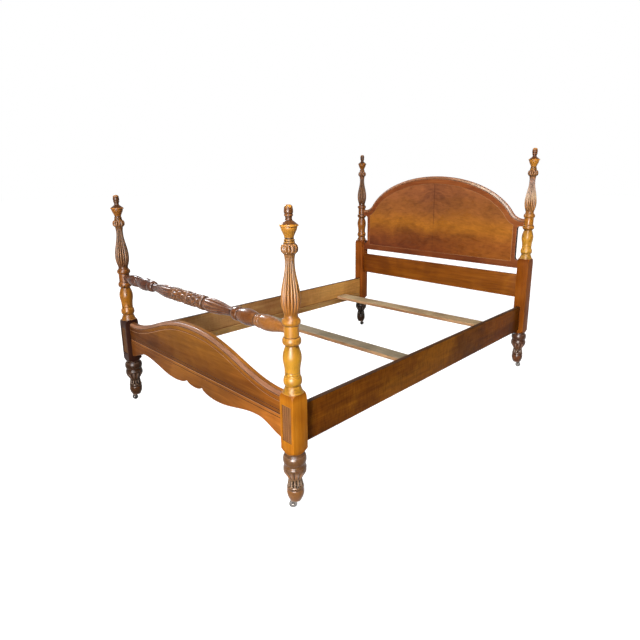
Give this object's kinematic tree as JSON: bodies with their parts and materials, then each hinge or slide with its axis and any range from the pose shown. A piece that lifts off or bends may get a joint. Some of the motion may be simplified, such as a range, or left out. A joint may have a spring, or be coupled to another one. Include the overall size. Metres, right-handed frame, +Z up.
{
  "type": "four-poster bedstead",
  "caption": "Low four-poster bedstead with turned and reeded posts, arched headboard, scrolled footboard, turned blanket rail, hooked side rails, loose slats and swivel casters.",
  "frame": {"origin": "on the floor under the middle of the bedstead", "axes": "+Z up, +Y towards the head of the bed, +X towards the right side of the bed as seen from its foot"},
  "size_m": [1.5026, 2.1246, 1.445],
  "materials": {
    "post_wood": "satin",
    "finial_wood": "satin",
    "headboard_wood": "satin",
    "footboard_wood": "satin",
    "crotch_veneer": "satin",
    "stringing": "satin",
    "head_rail_wood": "satin",
    "blanket_rail_wood": "satin",
    "side_rail_wood": "satin",
    "ledger_wood": "raw",
    "screw_steel": "dull",
    "hook_iron": "dull",
    "slat_wood": "raw",
    "caster_metal": "dull",
    "caster_wheel": "worn"
  },
  "bodies": {
    "bedstead": {"head_post_left": "post_wood", "head_post_right": "post_wood", "foot_post_left": "post_wood", "foot_post_right": "post_wood", "head_finial_left": "finial_wood", "head_finial_right": "finial_wood", "foot_finial_left": "finial_wood", "foot_finial_right": "finial_wood", "headboard_panel": "headboard_wood", "headboard_veneer": "crotch_veneer", "headboard_stringing": "stringing", "head_rail": "head_rail_wood", "footboard_panel": "footboard_wood", "blanket_rail": "blanket_rail_wood", "side_rail_left": "side_rail_wood", "side_rail_right": "side_rail_wood", "ledger_left": "ledger_wood", "ledger_right": "ledger_wood", "ledger_screws": "screw_steel", "hook_plates": "hook_iron", "hook_pins": "hook_iron", "caster_socket_head_left": "caster_metal", "caster_socket_head_right": "caster_metal", "caster_socket_foot_left": "caster_metal", "caster_socket_foot_right": "caster_metal"},
    "swivel_head_left": {"caster_fork_head_left": "caster_metal", "caster_axle_head_left": "caster_metal"},
    "wheel_head_left": {"caster_wheel_head_left": "caster_wheel"},
    "swivel_head_right": {"caster_fork_head_right": "caster_metal", "caster_axle_head_right": "caster_metal"},
    "wheel_head_right": {"caster_wheel_head_right": "caster_wheel"},
    "swivel_foot_left": {"caster_fork_foot_left": "caster_metal", "caster_axle_foot_left": "caster_metal"},
    "wheel_foot_left": {"caster_wheel_foot_left": "caster_wheel"},
    "swivel_foot_right": {"caster_fork_foot_right": "caster_metal", "caster_axle_foot_right": "caster_metal"},
    "wheel_foot_right": {"caster_wheel_foot_right": "caster_wheel"},
    "slat_head": {"slat_head": "slat_wood"},
    "slat_foot": {"slat_foot": "slat_wood"}
  },
  "joints": [
    {"name": "swivel_turn_head_left", "type": "hinge", "parent": "bedstead", "child": "swivel_head_left", "pos_m": [-0.705, 1.016, 0.0355], "axis": [0, 0, 1], "continuous": true},
    {"name": "wheel_spin_head_left", "type": "hinge", "parent": "swivel_head_left", "child": "wheel_head_left", "pos_m": [-0.70035, 1.02597, 0.016], "axis": [-0.9063, 0.4226, 0], "continuous": true},
    {"name": "swivel_turn_head_right", "type": "hinge", "parent": "bedstead", "child": "swivel_head_right", "pos_m": [0.705, 1.016, 0.0355], "axis": [0, 0, 1], "continuous": true},
    {"name": "wheel_spin_head_right", "type": "hinge", "parent": "swivel_head_right", "child": "wheel_head_right", "pos_m": [0.71343, 1.02307, 0.016], "axis": [-0.6428, 0.766, 0], "continuous": true},
    {"name": "swivel_turn_foot_left", "type": "hinge", "parent": "bedstead", "child": "swivel_foot_left", "pos_m": [-0.705, -1.016, 0.0355], "axis": [0, 0, 1], "continuous": true},
    {"name": "wheel_spin_foot_left", "type": "hinge", "parent": "swivel_foot_left", "child": "wheel_foot_left", "pos_m": [-0.71401, -1.02231, 0.016], "axis": [0.5736, -0.8192, 0], "continuous": true},
    {"name": "swivel_turn_foot_right", "type": "hinge", "parent": "bedstead", "child": "swivel_foot_right", "pos_m": [0.705, -1.016, 0.0355], "axis": [0, 0, 1], "continuous": true},
    {"name": "wheel_spin_foot_right", "type": "hinge", "parent": "swivel_foot_right", "child": "wheel_foot_right", "pos_m": [0.69722, -1.02378, 0.016], "axis": [0.7071, -0.7071, 0], "continuous": true},
    {"name": "slat_lift_head", "type": "slide", "parent": "bedstead", "child": "slat_head", "axis": [0, 0, 1], "range_m": [0, 0.25]},
    {"name": "slat_lift_foot", "type": "slide", "parent": "bedstead", "child": "slat_foot", "axis": [0, 0, 1], "range_m": [0, 0.25]}
  ]
}
